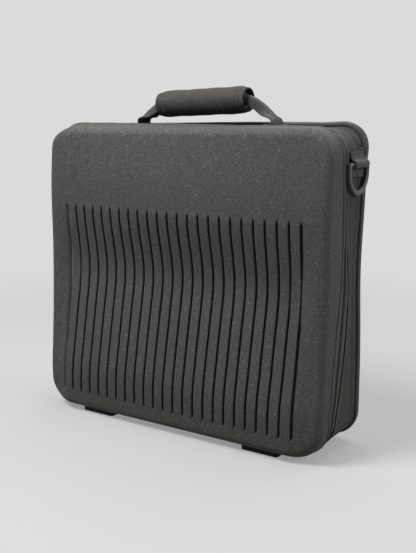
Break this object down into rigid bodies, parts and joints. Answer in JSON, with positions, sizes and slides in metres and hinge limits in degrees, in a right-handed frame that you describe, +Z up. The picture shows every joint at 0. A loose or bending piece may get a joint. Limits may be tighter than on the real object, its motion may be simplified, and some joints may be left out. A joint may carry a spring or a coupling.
{
  "type": "padded carrying case",
  "caption": "Zipped upright carrying case for a luggable computer: ribbed moulded front cover, woven gusset, padded top handle, side rings and back document pocket.",
  "frame": {"origin": "on the floor, midway across the width and the depth of the case", "axes": "+X to the right seen from the front, -Y out of the ribbed front, +Z up"},
  "size_m": [0.442, 0.12, 0.4408],
  "materials": {
    "shell": "moulded foam board faced with grained dark grey vinyl",
    "welt": "dull vinyl",
    "foam": "foam faced with brushed cloth",
    "webbing": "woven nylon webbing",
    "coil": "nylon coil",
    "lining": "plain woven lining",
    "nylon": "heavy ribbed woven nylon",
    "board": "stiffening sheet",
    "rivet": "dull",
    "foot": "matte",
    "grip_cloth": "padded vinyl cloth",
    "ring": "plated, slightly worn"
  },
  "bodies": {
    "case": {"gusset": "nylon", "gusset_edge_tape": "welt", "body_zip_tape": "webbing", "body_zip_coil": "coil", "body_liner": "foam", "hinge_strip": "nylon", "back_panel": "shell", "back_binding": "nylon", "back_zip_tape_front": "webbing", "back_zip_tape_rear": "webbing", "back_zip_coils": "coil", "pocket_divider": "lining", "back_board": "board", "back_pad": "foam", "handle_backing": "board", "handle_rivets": "rivet", "back_foot_left": "foot", "back_foot_right": "foot", "back_foot_rivets": "rivet", "handle_anchor_left": "webbing", "handle_anchor_right": "webbing", "side_tab_left": "webbing", "side_tab_right": "webbing"},
    "cover": {"front_shell": "shell", "shell_welt": "welt", "cover_liner": "foam", "cover_zip_tape": "webbing", "cover_zip_coil": "coil", "cover_pocket": "lining", "cover_pocket_binding": "webbing", "front_foot_left": "foot", "front_foot_right": "foot", "front_foot_rivets": "rivet"},
    "handle": {"handle_strap": "webbing", "handle_grip": "grip_cloth", "handle_core": "foam"},
    "ring_left": {"d_ring_left": "ring"},
    "ring_right": {"d_ring_right": "ring"},
    "main_zip_slider": {"main_slider": "ring"},
    "main_zip_pull": {"main_pull": "ring"},
    "back_zip_slider": {"back_slider": "ring"},
    "back_zip_pull": {"back_pull": "ring"}
  },
  "joints": [
    {"name": "cover_hinge", "type": "hinge", "parent": "case", "child": "cover", "pos_m": [-0.2135, -0.001, 0.2], "axis": [0, 0, -1], "range_deg": [0, 90]},
    {"name": "handle_tilt", "type": "hinge", "parent": "case", "child": "handle", "pos_m": [0, 0.025, 0.4078], "axis": [1, 0, 0], "range_deg": [-55, 55]},
    {"name": "ring_left_swing", "type": "hinge", "parent": "case", "child": "ring_left", "pos_m": [-0.216, 0.027, 0.351], "axis": [0, 1, 0], "range_deg": [0, 150]},
    {"name": "ring_right_swing", "type": "hinge", "parent": "case", "child": "ring_right", "pos_m": [0.216, 0.027, 0.351], "axis": [0, -1, 0], "range_deg": [0, 150]},
    {"name": "main_zip_run", "type": "slide", "parent": "case", "child": "main_zip_slider", "axis": [1, 0, 0], "range_m": [0, 0.332]},
    {"name": "main_pull_flip", "type": "hinge", "parent": "main_zip_slider", "child": "main_zip_pull", "pos_m": [-0.166, -0.0008, 0.3932], "axis": [0, -1, 0], "range_deg": [0, 140]},
    {"name": "back_zip_run", "type": "slide", "parent": "case", "child": "back_zip_slider", "axis": [1, 0, 0], "range_m": [0, 0.332]},
    {"name": "back_pull_flip", "type": "hinge", "parent": "back_zip_slider", "child": "back_zip_pull", "pos_m": [-0.166, 0.0434, 0.3932], "axis": [0, -1, 0], "range_deg": [0, 140]}
  ]
}
